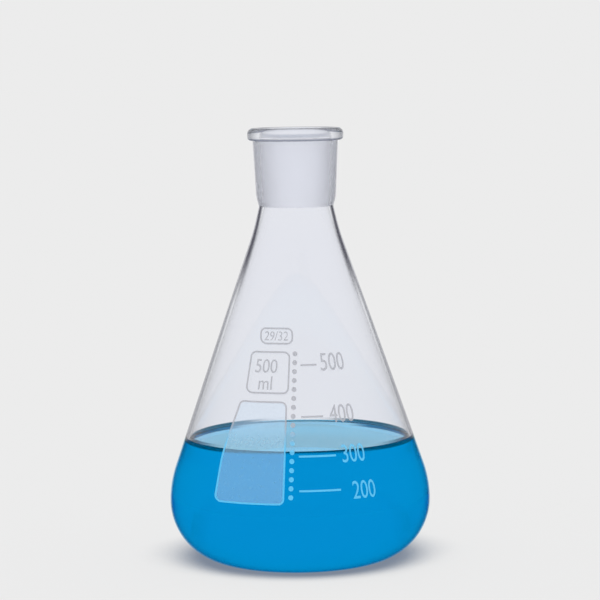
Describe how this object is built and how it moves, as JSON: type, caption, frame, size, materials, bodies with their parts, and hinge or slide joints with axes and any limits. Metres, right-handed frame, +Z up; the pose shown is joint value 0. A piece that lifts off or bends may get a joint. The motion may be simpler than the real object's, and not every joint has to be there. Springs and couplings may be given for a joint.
{
  "type": "ground-joint erlenmeyer flask",
  "caption": "Conical glass laboratory flask with a rounded heel, a beaded ground taper socket at the mouth, a white printed scale and a blue liquid fill.",
  "frame": {"origin": "on the flask's axis, at the level of the surface it stands on", "axes": "+Z up along the axis and out of the mouth, -Y towards the printed scale, +X to the right of the scale as it is read"},
  "size_m": [0.105, 0.105, 0.1745],
  "materials": {
    "clear_glass": "clear, fire-polished borosilicate glass; frosted where the socket is ground",
    "blue_liquid": "clear blue watery liquid",
    "white_enamel": "opaque white fired enamel print",
    "matt_enamel": "thin matt white enamel that takes a pencil and lets some light through"
  },
  "bodies": {
    "root": {"flask": "clear_glass", "liquid": "blue_liquid", "enamel_marks": "white_enamel", "writing_field": "matt_enamel"}
  },
  "joints": []
}
